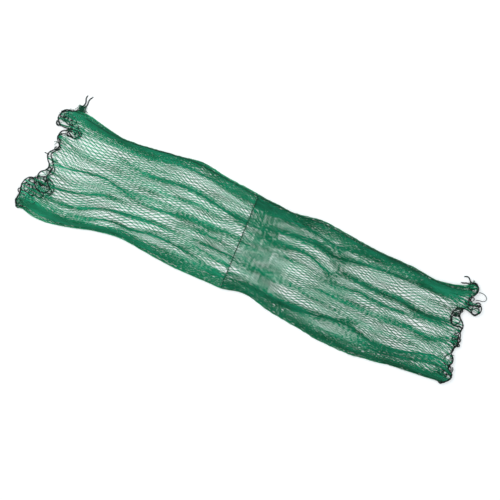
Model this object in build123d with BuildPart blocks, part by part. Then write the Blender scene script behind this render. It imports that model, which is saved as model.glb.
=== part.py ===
"""Open-ended sleeve of knotted netting, lying flat: two lengths of netting laced together at the middle.

The sleeve lies along X on the plane z = 0. The origin is at the middle of the lacing seam, on the
surface that the net lies on. The left half is on -X and the right half on +X. All lengths are in mm.
"""

from build123d import *
import math
import os

# Twine and cord
MOUTH_CORD_D = 3.2
SEAM_CORD_D = 2.2
SIDE_CORD_D = 2.0
CORD_END_D = 3.0
TIE_TWINE_D = 2.0
TOUCH_GAP = 0.1

# Heights of the flattened tube
LAYER_T = 1.2
UPPER_Z = 9.8
BUNDLE_H = UPPER_Z + LAYER_T
BUNDLE_OUTER_FILLET = 3.5

# Heights of the cords
UPPER_RUN_Z = BUNDLE_H + MOUTH_CORD_D / 2 + TOUCH_GAP
LOWER_RUN_Z = LAYER_T + MOUTH_CORD_D / 2 + TOUCH_GAP
MID_RUN_Z = (UPPER_RUN_Z + LOWER_RUN_Z) / 2
SIDE_CORD_Z = BUNDLE_H + SIDE_CORD_D / 2 + TOUCH_GAP
SIDE_CORD_INSET = 5.0

# The lacing seam at the middle, and where each half begins beside it
RIGHT_START = 3.0
LEFT_START = -6.0
SEAM_UNDERLAP = 2.5
SEAM_UNDERLAP_MARGIN = 3.0
SEAM_BACK_Y = 161.0
SEAM_FRONT_Y = -165.0
SEAM_CORNER_R = 3.8

# Knots and lashings
KNOT_R = 4.6
LASHING_R = 6.0
LASHING_HOLE_R = 2.6
LASHING_L = 4.5
STUB_D = 4.0
STUB_L = 15.0

# Long edges, from the seam outwards: x, y of the outer edge, and width of the gathered bundle there.
LEFT_BACK = [
    (0, 165, 14), (-130, 174, 16), (-252, 185, 24), (-319, 174, 14), (-396, 162, 14),
    (-502, 149, 20), (-579, 157, 26), (-640, 170, 32),
]
LEFT_FRONT = [
    (0, -169, 12), (-85, -172, 14), (-230, -165, 14), (-385, -157, 20), (-463, -173, 22),
    (-585, -201, 26), (-652, -193, 32), (-692, -192, 36),
]
RIGHT_BACK = [
    (0, 165, 14), (125, 157, 16), (242, 174, 14), (381, 159, 18), (569, 157, 22),
    (714, 149, 26), (757, 168, 32),
]
RIGHT_FRONT = [
    (0, -169, 12), (81, -154, 20), (192, -173, 30), (300, -186, 22), (414, -194, 14),
    (569, -181, 18), (669, -165, 22), (775, -154, 30),
]

# Mouth edge of the netting between its two bundles, from the back corner to the front corner.
LEFT_MOUTH_EDGE = [(-660, 70), (-672, 0), (-682, -80)]
RIGHT_MOUTH_EDGE = [(750, 60), (772, 0), (782, -60)]

# Mouth cords: each starts at its knot in the back corner, runs along the upper edge to the front
# corner, drops there, and comes back along the lower edge to the knot.
LEFT_UPPER_RUN = [
    (-679, 165), (-697, 160), (-714, 149), (-722, 130), (-714, 112), (-695, 103), (-668, 106),
    (-645, 112), (-630, 104), (-634, 88), (-651, 82), (-670, 87), (-687, 82), (-698, 66),
    (-685, 50), (-668, 36), (-682, 20), (-694, 4), (-680, -10), (-667, -28), (-668, -50),
    (-676, -70), (-664, -88), (-647, -100), (-650, -117), (-669, -127), (-690, -122), (-702, -106),
    (-711, -90), (-727, -94), (-738, -112), (-740, -134), (-732, -154), (-737, -176), (-730, -195),
]
LEFT_LOWER_RUN = [
    (-704, -173), (-712, -152), (-703, -133), (-685, -120), (-688, -99), (-705, -84), (-703, -62),
    (-685, -51), (-681, -30), (-697, -16), (-705, 4), (-692, 20), (-677, 34), (-681, 55),
    (-697, 68), (-694, 90), (-675, 99), (-665, 116), (-676, 134), (-681, 152),
]
RIGHT_UPPER_RUN = [
    (783, 191), (793, 177), (789, 158), (777, 146), (772, 130), (785, 119), (803, 123),
    (816, 134), (828, 124), (826, 105), (812, 95), (793, 99), (775, 103), (756, 96), (743, 82),
    (741, 61), (750, 42), (768, 34), (784, 44), (796, 34), (790, 14), (798, -5), (803, -22),
    (792, -36), (794, -54), (808, -64), (812, -82), (801, -95), (811, -107), (825, -112),
    (829, -130), (818, -143),
]
RIGHT_LOWER_RUN = [
    (790, -134), (800, -116), (796, -96), (780, -84), (784, -62), (799, -48), (797, -26),
    (780, -14), (777, 8), (791, 22), (798, 42), (787, 59), (770, 70), (766, 92), (779, 106),
    (784, 128), (773, 144), (771, 161),
]

# Knots at the back corners, and where the cords meet them
LEFT_KNOT = (-664, 182, MID_RUN_Z)
RIGHT_KNOT = (766, 188, MID_RUN_Z)
LEFT_CORD_START = (-669, 174.5, UPPER_RUN_Z - 2)
LEFT_CORD_FINISH = (-671, 171.5, LOWER_RUN_Z + 2)
RIGHT_CORD_START = (774, 186, UPPER_RUN_Z - 2)
RIGHT_CORD_FINISH = (771, 177.5, LOWER_RUN_Z + 2)

# Front corners, where each cord drops from the upper edge to the lower edge
LEFT_CORNER = [(-722, -206, MID_RUN_Z), (-709, -193, LOWER_RUN_Z + 0.6)]
RIGHT_CORNER = [(805, -156, MID_RUN_Z), (793, -149, LOWER_RUN_Z + 0.6)]

# Loose ends of the mouth cords beyond their knots
LEFT_LONG_END = [
    (-659.5, 185.5, 6.0), (-653, 193, 3.4), (-649, 203, 2.0), (-651, 214, 1.8), (-650, 225, 1.8),
    (-643, 235, 1.8),
]
LEFT_SHORT_END = [
    (-664, 187.5, 6.0), (-660, 195, 3.4), (-657, 204, 2.0), (-659, 214, 1.8), (-664, 223, 1.8),
    (-661, 233, 1.8),
]
RIGHT_LONG_END = [
    (760.5, 190, 6.0), (754, 194, 3.4), (748, 202, 2.0), (739, 204, 1.8), (731, 199, 1.8),
]
RIGHT_SHORT_END = [
    (760.5, 185.5, 6.0), (753, 183, 3.4), (745, 183, 2.0), (738, 178, 1.8), (729, 177, 1.8),
]

# Thin loop of tying twine at the right mouth, both its ends in the upper edge
TIE_LOOP = [
    (796, 170, 7.6), (806, 173, 7.6), (818, 171, 7.6), (828, 164, 7.6), (829, 154, 7.6),
    (820, 147, 7.6), (808, 147, 7.6), (797, 142, 7.6),
]
STUB_END = (-698.0, 1.0)

os.makedirs("parts", exist_ok=True)


def save(piece, name):
    """Label a finished piece and write it."""
    piece.part.label = name
    export_step(piece.part, f"parts/{name}.step")


def at_height(points, z):
    """Points of a level run, with their height."""
    return [(x, y, z) for x, y in points]


def corner_radii(route):
    """The largest tangent arc at each corner of a route that leaves a tenth of its shorter run straight."""
    radii = []
    for before, corner, after in zip(route, route[1:], route[2:]):
        way_in = Vector(*corner) - Vector(*before)
        way_out = Vector(*after) - Vector(*corner)
        half_turn = math.radians(way_in.get_angle(way_out)) / 2
        radii.append(0.45 * min(way_in.length, way_out.length) / math.tan(half_turn))
    return radii


def cord(route, diameter, name):
    """A round cord along straight runs joined by tangent arcs."""
    radii = corner_radii(route)
    with BuildPart() as tube:
        with BuildLine() as path:
            FilletPolyline(*route, radius=radii)
        centre_line = path.wire()
        with BuildSketch(Plane(origin=centre_line @ 0, z_dir=centre_line % 0)):
            Circle(diameter / 2)
        sweep(path=centre_line)
    section = math.pi * diameter**2 / 4
    print(
        name, "length", round(centre_line.length), "least radius", round(min(radii), 1),
        "volume share", round(tube.part.volume / (section * centre_line.length), 4),
    )
    return tube


def trimmed(edge, start):
    """A long edge with its first point moved along X to where the half begins."""
    return [(start, *edge[0][1:])] + edge[1:]


def layer(back, front, mouth_edge, start, z, underlap=0):
    """One layer of netting between its two bundles, as a thin plate that may reach under the seam."""
    inner_back = [(x, y - width) for x, y, width in trimmed(back, start)]
    inner_front = [(x, y + width) for x, y, width in trimmed(front, start)]
    with BuildPart() as plate:
        with BuildSketch(Plane.XY.offset(z)):
            with BuildLine():
                Spline(*inner_back)
                Spline(inner_back[-1], *mouth_edge, inner_front[-1])
                Spline(*reversed(inner_front))
                Line(inner_front[0], inner_back[0])
            make_face()
            if underlap:
                back_y = inner_back[0][1] - SEAM_UNDERLAP_MARGIN
                front_y = inner_front[0][1] + SEAM_UNDERLAP_MARGIN
                with Locations((0, (back_y + front_y) / 2)):
                    Rectangle(2 * underlap, back_y - front_y)
                with Locations((start / 2, (back_y + front_y) / 2)):
                    Rectangle(start + 1, back_y - front_y)
        extrude(amount=LAYER_T)
    return plate


def bundle(edge, side, start):
    """The gathered long edge of one half: side is 1 at the back and -1 at the front."""
    points = trimmed(edge, start)
    outer = [(x, y) for x, y, width in points]
    inner = [(x, y - side * width) for x, y, width in points]
    with BuildPart() as roll:
        with BuildSketch():
            with BuildLine():
                Spline(*outer)
                Line(outer[-1], inner[-1])
                Spline(*reversed(inner))
                Line(inner[0], outer[0])
            make_face()
        extrude(amount=BUNDLE_H)
        curved_faces = roll.faces().filter_by(GeomType.PLANE, reverse=True).sort_by(Axis.Y)
        outer_face = curved_faces[-1] if side > 0 else curved_faces[0]
        fillet(outer_face.edges().filter_by(GeomType.BSPLINE), BUNDLE_OUTER_FILLET)
    return roll


def side_lacing(edge, start):
    """The lacing that closes the sleeve along its back edge."""
    end_inset = 8 if start > 0 else -8
    points = trimmed(edge, start)
    route = [(x, y - SIDE_CORD_INSET, SIDE_CORD_Z) for x, y, width in points]
    route[-1] = (route[-1][0] - end_inset, route[-1][1] - SIDE_CORD_INSET, SIDE_CORD_Z)
    return route


def knot(centre):
    """A tight overhand knot, as a ball drawn in at its waist."""
    with BuildPart() as ball:
        with Locations(centre):
            Sphere(KNOT_R)
            Torus(KNOT_R + 0.9, 1.4, mode=Mode.SUBTRACT)
    return ball


def lashing(before, after):
    """A whipped ring of twine round the straight middle of one run of cord."""
    way = Vector(*after) - Vector(*before)
    middle = (Vector(*after) + Vector(*before)) * 0.5
    across = Plane(origin=middle - way.normalized() * (LASHING_L / 2), z_dir=way)
    with BuildPart() as ring:
        with BuildSketch(across):
            Circle(LASHING_R)
            Circle(LASHING_HOLE_R, mode=Mode.SUBTRACT)
        extrude(amount=LASHING_L)
        fillet(ring.edges().filter_by(GeomType.CIRCLE).sort_by(SortBy.RADIUS)[-2:], 1.4)
    return ring


# Netting of each half: two layers and two gathered long edges
for side, back, front, mouth, start in (
    ("left", LEFT_BACK, LEFT_FRONT, LEFT_MOUTH_EDGE, LEFT_START),
    ("right", RIGHT_BACK, RIGHT_FRONT, RIGHT_MOUTH_EDGE, RIGHT_START),
):
    underlap = SEAM_UNDERLAP if side == "right" else 0
    save(layer(back, front, mouth, start, UPPER_Z), f"{side}_net_upper")
    save(layer(back, front, mouth, start, 0, underlap), f"{side}_net_lower")
    save(bundle(back, 1, start), f"{side}_back_bundle")
    save(bundle(front, -1, start), f"{side}_front_bundle")
    save(cord(side_lacing(back, start), SIDE_CORD_D, f"{side}_side_lacing"), f"{side}_side_lacing")

# Lacing seam round the sleeve at the middle
with BuildPart() as seam_lacing:
    with BuildLine(Plane.YZ) as seam_path:
        FilletPolyline(
            (SEAM_BACK_Y, LOWER_RUN_Z), (SEAM_BACK_Y, BUNDLE_H), (SEAM_FRONT_Y, BUNDLE_H),
            (SEAM_FRONT_Y, LOWER_RUN_Z), radius=SEAM_CORNER_R, close=True,
        )
    seam_ring = seam_path.wire()
    with BuildSketch(Plane(origin=seam_ring @ 0, z_dir=seam_ring % 0)):
        Circle(SEAM_CORD_D / 2)
    sweep(path=seam_ring)
save(seam_lacing, "seam_lacing")

# Mouth cords, their knots and their corner lashings
left_route = [
    LEFT_CORD_START, *at_height(LEFT_UPPER_RUN, UPPER_RUN_Z), *LEFT_CORNER,
    *at_height(LEFT_LOWER_RUN, LOWER_RUN_Z), LEFT_CORD_FINISH,
]
right_route = [
    RIGHT_CORD_START, *at_height(RIGHT_UPPER_RUN, UPPER_RUN_Z), *RIGHT_CORNER,
    *at_height(RIGHT_LOWER_RUN, LOWER_RUN_Z), RIGHT_CORD_FINISH,
]
save(cord(left_route, MOUTH_CORD_D, "left_mouth_cord"), "left_mouth_cord")
save(cord(right_route, MOUTH_CORD_D, "right_mouth_cord"), "right_mouth_cord")
save(knot(LEFT_KNOT), "left_mouth_knot")
save(knot(RIGHT_KNOT), "right_mouth_knot")
save(lashing((*LEFT_UPPER_RUN[-1], UPPER_RUN_Z), LEFT_CORNER[0]), "left_corner_lashing")
save(lashing((*RIGHT_UPPER_RUN[-1], UPPER_RUN_Z), RIGHT_CORNER[0]), "right_corner_lashing")

# Loose cord ends and the tying twine
save(cord(LEFT_LONG_END, CORD_END_D, "left_long_end"), "left_long_end")
save(cord(LEFT_SHORT_END, CORD_END_D, "left_short_end"), "left_short_end")
save(cord(RIGHT_LONG_END, CORD_END_D, "right_long_end"), "right_long_end")
save(cord(RIGHT_SHORT_END, CORD_END_D, "right_short_end"), "right_short_end")
save(cord(TIE_LOOP, TIE_TWINE_D, "right_tie_loop"), "right_tie_loop")

# Cut end of the knot that joins the left mouth cord
with BuildPart() as splice_stub:
    with BuildSketch(Plane.YZ.offset(STUB_END[0] - STUB_L)):
        with Locations((STUB_END[1], UPPER_RUN_Z)):
            Circle(STUB_D / 2)
    extrude(amount=STUB_L)
    chamfer(splice_stub.edges().filter_by(GeomType.CIRCLE), 0.6)
save(splice_stub, "left_splice_stub")
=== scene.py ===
"""Looks of the netting sleeve: knotted twine netting, laced seam and side edges, and mouth cords.

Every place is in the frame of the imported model, in metres. The sleeve lies along X, its seam at x = 0,
its laced edge at +Y, and the surface it lies on at z = 0. Lists of places are written in millimetres
and turned into metres by MM.
"""

import bpy
import math
import mathutils
import numpy as np
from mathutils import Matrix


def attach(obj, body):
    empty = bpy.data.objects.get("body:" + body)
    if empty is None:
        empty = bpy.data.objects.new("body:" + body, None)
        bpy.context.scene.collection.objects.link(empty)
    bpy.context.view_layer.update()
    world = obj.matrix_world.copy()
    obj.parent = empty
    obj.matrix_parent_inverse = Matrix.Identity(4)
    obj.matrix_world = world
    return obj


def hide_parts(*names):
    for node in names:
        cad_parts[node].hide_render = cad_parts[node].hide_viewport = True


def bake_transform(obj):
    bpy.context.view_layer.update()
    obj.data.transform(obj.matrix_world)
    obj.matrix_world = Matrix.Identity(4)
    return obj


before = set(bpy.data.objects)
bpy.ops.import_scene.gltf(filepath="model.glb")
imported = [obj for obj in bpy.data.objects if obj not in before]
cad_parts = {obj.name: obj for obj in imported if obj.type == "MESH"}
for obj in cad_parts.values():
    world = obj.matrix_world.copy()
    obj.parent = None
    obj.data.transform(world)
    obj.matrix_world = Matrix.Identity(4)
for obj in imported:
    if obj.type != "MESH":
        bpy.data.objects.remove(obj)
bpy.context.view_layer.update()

MM = 0.001
UP = np.array([0.0, 0.0, 1.0])
WAY = {"left": -1, "right": 1}  # from the seam to the mouth, along X
draw = np.random.default_rng(11)

# ---------------- sizes of the twines and the netting

BAR = 17.4 * MM  # from knot to knot along the twine
TWINE_R = 0.7 * MM
KNOT_R = 1.3 * MM
TWINES_APART = 0.32 * MM  # from the middle of a knot to each of its two twines
MOST_BOW = 2.6 * MM  # of a slack twine between two knots
ROW_PITCH = 16.8 * MM  # from one row of knots to the next, along the sleeve
MOUTH_CORD_D = 3.2 * MM
SEAM_CORD_D = 2.2 * MM
SIDE_CORD_D = 2.0 * MM
CORD_END_D = 3.0 * MM
TIE_TWINE_D = 2.0 * MM
STUB_D = 3.4 * MM

# Laid cords, in diameters: the length of one turn of the strands, their offset and their own radius
LAY_TURN, STRAND_OFFSET, STRAND_R = 3.4, 0.24, 0.27

LAYER_COLUMNS = {"left": 134, "right": 154}  # half meshes across each layer
BUNDLE_COLUMNS = 30  # half meshes in each bundle

# Closeness of the columns along a pleat of strength 1, beside 1 elsewhere, and half the pleat's width
PLEAT_CROWD = {"left": 1.9, "right": 2.1}
PLEAT_HALF_WIDTH = {"left": 6.5, "right": 9.0}  # mm
EDGE_CROWD = {"left": 15.0, "right": 5.0}  # extra closeness at the long edges of a mouth
EDGE_REACH = 9  # mm
HALF_LENGTH = 700  # mm, of either half, nearly
LAYER_INSET = 0.12  # where a layer starts, as a share of the width of the bundle beside it

# Heights above the floor, in mm
UPPER_LAYER_Z, LOWER_LAYER_Z = 8.4, 2.0
BUNDLE_TOP_Z, BUNDLE_FOOT_Z, BUNDLE_DROP = 9.4, 1.7, 7.7
LEAST_KNOT_Z, LEAST_TWINE_Z = 1.2, 0.7
LACING_Z = 11.2

CROWDING_REACH = 2.6 * MM
OPEN_STRANDS, TIGHT_STRANDS = 0.9, 3.2  # strands across each mm of the sleeve

# Knots: place and girth of the rings of points along one, and place of its tips, in knot radii
BEAD_RINGS = [(-0.85, 0.72), (-0.4, 1.0), (0.1, 0.8), (0.6, 0.96)]
BEAD_SIDES = 5
BEAD_TIP = 1.3

# Long edges, from the seam outwards: x, y of the outer edge, and width of the gathered bundle, in mm
BACK_EDGE = {"left": [
    (0, 165, 38), (-130, 174, 34), (-252, 185, 28), (-319, 174, 32), (-396, 162, 38), (-502, 149, 24),
    (-579, 157, 26), (-640, 170, 30),
], "right": [
    (0, 165, 38), (125, 157, 34), (242, 174, 42), (381, 159, 40), (569, 157, 38), (714, 149, 26),
    (757, 168, 30),
]}
FRONT_EDGE = {"left": [
    (0, -169, 40), (-85, -172, 38), (-230, -165, 40), (-385, -157, 30), (-463, -173, 26), (-585, -201, 42),
    (-652, -193, 46), (-692, -192, 42),
], "right": [
    (0, -169, 34), (81, -154, 30), (192, -173, 32), (300, -186, 36), (414, -194, 42), (569, -181, 42),
    (669, -165, 36), (775, -154, 32),
]}

# Where the rows of knots end at each mouth: y, x in mm, from front to back
MOUTH_LINE = {
    "left": [(-192, -686), (-156, -678), (-80, -672), (0, -668), (70, -656), (137, -642), (170, -638)],
    "right": [(-154, 775), (-124, 778), (-60, 782), (0, 772), (60, 750), (137, 752), (168, 757)],
}

# Pleats of the upper layer, from the back edge to the front edge: x, y and strength along each, in mm
PLEATS = {"left": [
    [(-640, 122, 0.5), (-502, 118, 0.4), (-396, 136, 0.5), (-330, 150, 1.0), (-252, 148, 1.4),
     (-130, 146, 0.9), (0, 138, 0.6)],
    [(-640, 88, 0.1), (-500, 82, 0.2), (-373, 75, 0.9), (-206, 87, 1.1), (-80, 70, 1.7), (0, 74, 1.9)],
    [(-690, 40, 0.1), (-600, 44, 0.1), (-480, 44, 0.3), (-330, 32, 0.3), (-200, 50, 0.8), (-110, 40, 0.5),
     (0, 38, 0.2)],
    [(-690, -44, 1.2), (-610, -25, 1.2), (-550, -5, 1.3), (-483, 7, 1.2), (-423, -9, 0.9), (-330, -23, 1.0),
     (-223, -13, 0.9), (-80, 2, 0.8), (0, 2, 0.6)],
    [(-690, -108, 1.4), (-643, -110, 1.5), (-590, -94, 1.5), (-543, -78, 1.2), (-480, -52, 0.6),
     (-350, -44, 0.3), (-200, -36, 0.6), (0, -30, 0.2)],
    [(-700, -136, 0.8), (-640, -152, 1.2), (-590, -150, 1.5), (-530, -124, 1.5), (-460, -91, 1.6),
     (-410, -81, 1.7), (-346, -74, 1.6), (-263, -63, 1.2), (-160, -60, 0.6), (-73, -61, 1.1),
     (0, -64, 1.1)],
    [(-690, -156, 0.8), (-600, -168, 0.8), (-540, -158, 0.8), (-476, -142, 1.5), (-410, -113, 1.6),
     (-346, -122, 1.6), (-290, -108, 1.4), (-173, -101, 1.2), (-60, -122, 0.8), (0, -120, 0.4)],
], "right": [
    [(0, 136, 0.6), (110, 130, 0.8), (243, 125, 1.2), (313, 111, 1.9), (383, 128, 1.0), (569, 126, 0.5),
     (700, 128, 0.8), (757, 134, 1.0)],
    [(0, 74, 1.9), (97, 79, 1.9), (163, 86, 1.3), (270, 92, 1.2), (313, 79, 1.7), (363, 92, 1.2),
     (460, 102, 1.0), (633, 109, 0.9), (757, 118, 0.6)],
    [(0, 38, 0.4), (100, 42, 0.8), (230, 52, 1.0), (316, 22, 1.6), (363, 39, 1.4), (460, 36, 1.0),
     (600, 39, 1.5), (666, 26, 1.7), (745, 34, 0.8)],
    [(0, 2, 0.5), (120, 10, 0.3), (300, -6, 0.5), (433, 9, 1.0), (540, -1, 1.4), (590, 6, 0.9),
     (650, 14, 0.3), (770, 0, 0.3)],
    [(0, -30, 0.2), (200, -42, 0.3), (400, -40, 0.2), (546, -44, 0.7), (646, -33, 1.7), (690, -50, 1.7),
     (730, -36, 1.7), (780, -20, 1.8)],
    [(0, -64, 1.1), (80, -64, 1.1), (150, -58, 0.6), (300, -78, 0.4), (433, -78, 0.2), (600, -80, 0.6),
     (700, -78, 0.2), (780, -70, 0.3)],
    [(0, -122, 0.4), (100, -120, 0.9), (196, -134, 1.7), (313, -124, 1.6), (389, -106, 1.2),
     (433, -102, 1.4), (483, -121, 1.8), (549, -128, 1.9), (616, -118, 2.0), (686, -101, 2.0),
     (733, -101, 1.9), (790, -112, 1.6)],
    [(430, -122, 0.2), (500, -138, 1.0), (560, -146, 1.4), (640, -136, 1.7), (716, -118, 1.7),
     (776, -128, 1.4)],
]}

# Where the meshes lie open and even: middle x, y, and reach in x, y, in mm
OPEN_PATCHES = {
    "left": [(-590, 90, 90, 40), (-600, -10, 70, 30)],
    "right": [(205, -22, 90, 42), (560, -70, 60, 22), (520, 80, 90, 20)],
}

# Pleats of the lower layer, seen through the upper one, from the front edge to the back edge
UNDER_PLEATS = {"left": [
    [(-690, -140, 1.0), (-500, -120, 0.8), (-250, -128, 1.0), (0, -132, 0.6)],
    [(-690, -60, 0.6), (-450, -50, 0.8), (-200, -30, 1.0), (0, -46, 0.8)],
    [(-690, 10, 0.3), (-450, 26, 0.3), (-200, 14, 0.9), (0, 24, 0.6)],
    [(-690, 90, 0.4), (-450, 96, 0.3), (-200, 112, 0.8), (0, 98, 0.9)],
], "right": [
    [(0, -130, 0.6), (250, -140, 1.2), (500, -146, 0.8), (780, -100, 1.2)],
    [(0, -46, 0.7), (250, -66, 0.6), (500, -52, 0.5), (780, -44, 1.0)],
    [(0, 24, 0.7), (250, 16, 0.9), (500, 28, 0.8), (770, 24, 0.6)],
    [(0, 98, 0.9), (250, 106, 1.0), (500, 92, 0.9), (757, 100, 0.9)],
]}

# Mouth cords: over the upper edge from the knot at the back to the front corner, in mm
UPPER_RUN = {"left": [
    (-679, 165), (-697, 160), (-714, 149), (-722, 130), (-714, 112), (-695, 103), (-668, 106), (-645, 112),
    (-630, 104), (-634, 88), (-651, 82), (-670, 87), (-687, 82), (-698, 66), (-685, 50), (-668, 36),
    (-682, 20), (-694, 4), (-680, -10), (-667, -28), (-668, -50), (-676, -70), (-664, -88), (-647, -100),
    (-650, -117), (-669, -127), (-690, -122), (-702, -106), (-711, -90), (-727, -94), (-738, -112),
    (-740, -134), (-732, -154), (-737, -176), (-730, -195),
], "right": [
    (783, 191), (793, 177), (789, 158), (777, 146), (772, 130), (785, 119), (803, 123), (816, 134),
    (828, 124), (826, 105), (812, 95), (793, 99), (775, 103), (756, 96), (743, 82), (741, 61), (750, 42),
    (768, 34), (784, 44), (796, 34), (790, 14), (798, -5), (803, -22), (792, -36), (794, -54), (808, -64),
    (812, -82), (801, -95), (811, -107), (825, -112), (829, -130), (818, -143),
]}
# Mouth cords: back under the lower edge from the front corner to the knot, in mm
LOWER_RUN = {"left": [
    (-704, -173), (-712, -152), (-703, -133), (-685, -120), (-688, -99), (-705, -84), (-703, -62),
    (-685, -51), (-681, -30), (-697, -16), (-705, 4), (-692, 20), (-677, 34), (-681, 55), (-697, 68),
    (-694, 90), (-675, 99), (-665, 116), (-676, 134), (-681, 152),
], "right": [
    (790, -134), (800, -116), (796, -96), (780, -84), (784, -62), (799, -48), (797, -26), (780, -14),
    (777, 8), (791, 22), (798, 42), (787, 59), (770, 70), (766, 92), (779, 106), (784, 128), (773, 144),
    (771, 161),
]}
# Where each cord starts, turns in the front corner, starts back and ends: x, y in mm
RUN_ENDS = {
    "left": [(-669, 174.5), (-722, -206), (-709, -193), (-671, 171.5)],
    "right": [(774, 186), (805, -156), (793, -149), (771, 177.5)],
}
UPPER_RUN_Z, MID_RUN_Z, LOWER_RUN_Z = 10.8, 7.0, 2.7  # mm
RUN_START_Z, RUN_BACK_Z, RUN_END_Z = 9.5, 3.3, 4.7  # mm

# Slack of the mouth cords, thrown into loops beside their corners: each x, y, z, in mm
LOOPS = {"left": [
    [(-676, 168, 9), (-690, 164, 9), (-708, 161, 8), (-719, 147, 7), (-716, 130, 7), (-702, 121, 7),
     (-688, 130, 8), (-690, 146, 9), (-700, 152, 10), (-707, 140, 10), (-700, 128, 10)],
    [(-700, 128, 10), (-686, 118, 9), (-664, 117, 9), (-640, 118, 9), (-626, 106, 9), (-626, 92, 9),
     (-641, 80, 9), (-657, 88, 8), (-672, 97, 7)],
    [(-713, 130, 6), (-719, 116, 6), (-718, 104, 6), (-704, 103, 6), (-690, 110, 6), (-676, 112, 6)],
    [(-666, -72, 9), (-650, -78, 9), (-637, -92, 9), (-632, -110, 9), (-643, -126, 9), (-662, -134, 8),
     (-680, -126, 7), (-684, -110, 7), (-672, -98, 8), (-658, -100, 9)],
    [(-680, -72, 6), (-698, -80, 6), (-718, -96, 6), (-731, -116, 6), (-729, -138, 6), (-714, -148, 6),
     (-700, -138, 7), (-703, -120, 8), (-716, -112, 8), (-724, -126, 8)],
    [(-733, -160, 6), (-738, -176, 6), (-735, -192, 6), (-722, -199, 6), (-712, -190, 7), (-717, -176, 8),
     (-729, -172, 8), (-735, -184, 8)],
    [(-690, -128, 9), (-694, -146, 9), (-686, -162, 8), (-670, -168, 7), (-656, -176, 6), (-648, -188, 6)],
    [(-664, -30, 8), (-656, -42, 8), (-662, -58, 7), (-674, -66, 7), (-664, -78, 8)],
], "right": [
    [(762, 184, 9), (772, 193, 9), (784, 186, 9), (788, 172, 8), (786, 156, 7), (776, 148, 7),
     (768, 158, 7), (770, 172, 8)],
    [(770, 121, 9), (786, 116, 9), (798, 124, 8), (806, 137, 7), (816, 139, 7), (820, 128, 7),
     (813, 118, 8)],
    [(776, 110, 6), (792, 108, 6), (806, 96, 6), (816, 92, 6), (823, 104, 6), (820, 120, 7)],
    [(748, 95, 8), (762, 98, 8), (776, 92, 8), (764, 80, 8), (750, 70, 7), (746, 52, 7), (758, 38, 7)],
    [(786, 30, 8), (798, 20, 8), (801, 4, 8), (808, -4, 8), (800, -12, 8), (807, -20, 8), (796, -28, 8),
     (786, -20, 7), (790, -8, 6)],
    [(796, -56, 8), (810, -72, 8), (804, -88, 8), (814, -96, 8), (820, -106, 7), (808, -112, 7),
     (800, -100, 7)],
    [(806, -112, 8), (816, -118, 8), (825, -122, 8), (827, -134, 8), (818, -144, 8), (808, -138, 7),
     (806, -126, 6)],
    [(790, -136, 9), (800, -146, 9), (808, -154, 9), (800, -160, 8), (790, -150, 7), (794, -138, 6)],
]}

# Smaller turns of slack cord: middle x, y, radius in mm, start in degrees, and how many turns
CURLS = {"left": [
    (-706, 144, 12, 200, 0.9), (-713, 108, 6, 90, 1.2), (-690, 136, 9, 30, 0.8), (-668, 131, 10, 300, 0.9),
    (-656, 118, 11, 120, 0.8), (-636, 101, 10, 250, 0.9), (-676, 150, 7, 10, 1.0), (-664, 92, 8, 60, 0.7),
    (-725, -131, 13, 180, 0.9), (-712, -99, 10, 100, 0.9), (-692, -112, 12, 330, 0.8),
    (-662, -88, 10, 40, 0.9), (-648, -112, 8, 200, 0.9), (-698, -137, 11, 60, 0.8),
    (-720, -166, 10, 140, 0.9), (-729, -182, 8, 20, 1.1), (-715, -190, 7, 270, 1.2),
    (-706, -171, 10, 300, 0.9), (-688, -160, 12, 90, 0.7), (-673, -78, 7, 0, 1.1),
    (-672, -134, 11, 150, 0.8), (-735, -148, 7, 240, 1.0), (-683, 30, 5, 100, 0.9),
    (-676, -44, 6, 280, 0.9),
], "right": [
    (771, 181, 12, 250, 1.0), (780, 170, 9, 80, 0.9), (809, 131, 7, 200, 1.1), (811, 107, 11, 300, 0.9),
    (790, 116, 8, 160, 0.8), (755, 77, 11, 100, 0.9), (764, 54, 13, 180, 0.7), (798, -2, 6, 40, 1.1),
    (804, -19, 5, 220, 1.2), (790, 4, 6, 300, 0.9), (814, -104, 9, 110, 0.9), (819, -126, 8, 350, 1.1),
    (808, -142, 7, 60, 1.2), (800, -122, 8, 200, 0.9), (804, -88, 7, 20, 0.8), (786, 140, 6, 330, 0.9),
]}

# Meshes bunched up at the mouths: middle x, y, reach in x, y, in mm, and how many lengths of twine
SNARLS = {"left": [
    ((-692, 134), (20, 24), 26), ((-661, 182), (12, 13), 70), ((-642, 100), (18, 12), 12),
    ((-678, -108), (32, 30), 34), ((-706, -165), (18, 22), 20), ((-674, -40), (8, 36), 14),
    ((-684, 60), (10, 30), 9),
], "right": [
    ((766, 180), (10, 12), 30), ((774, 116), (18, 12), 14), ((757, 80), (12, 18), 20),
    ((788, -10), (14, 14), 34), ((798, -80), (9, 26), 14), ((790, -128), (20, 20), 38),
]}

# Knots, loose ends and tying twine: x, y, z in mm
CORNER_KNOT = {"left": (-664, 182, MID_RUN_Z), "right": (766, 188, MID_RUN_Z)}
LONG_END = {"left": [
    (-659.5, 185.5, 6.0), (-653, 193, 3.4), (-649, 203, 2.0), (-651, 214, 1.8), (-650, 225, 1.8),
    (-643, 235, 1.8),
], "right": [
    (760.5, 190, 6.0), (754, 194, 3.4), (748, 202, 2.0), (739, 204, 1.8), (731, 199, 1.8),
]}
SHORT_END = {"left": [
    (-664, 187.5, 6.0), (-660, 195, 3.4), (-657, 204, 2.0), (-659, 214, 1.8), (-664, 223, 1.8),
    (-661, 233, 1.8),
], "right": [
    (760.5, 185.5, 6.0), (753, 183, 3.4), (745, 183, 2.0), (738, 178, 1.8), (729, 177, 1.8),
]}
TIE_LOOP = [
    (796, 170, 7.6), (806, 173, 7.6), (818, 171, 7.6), (828, 164, 7.6), (829, 154, 7.6), (820, 147, 7.6),
    (808, 147, 7.6), (797, 142, 7.6),
]


# ---------------- small tools for shapes


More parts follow.
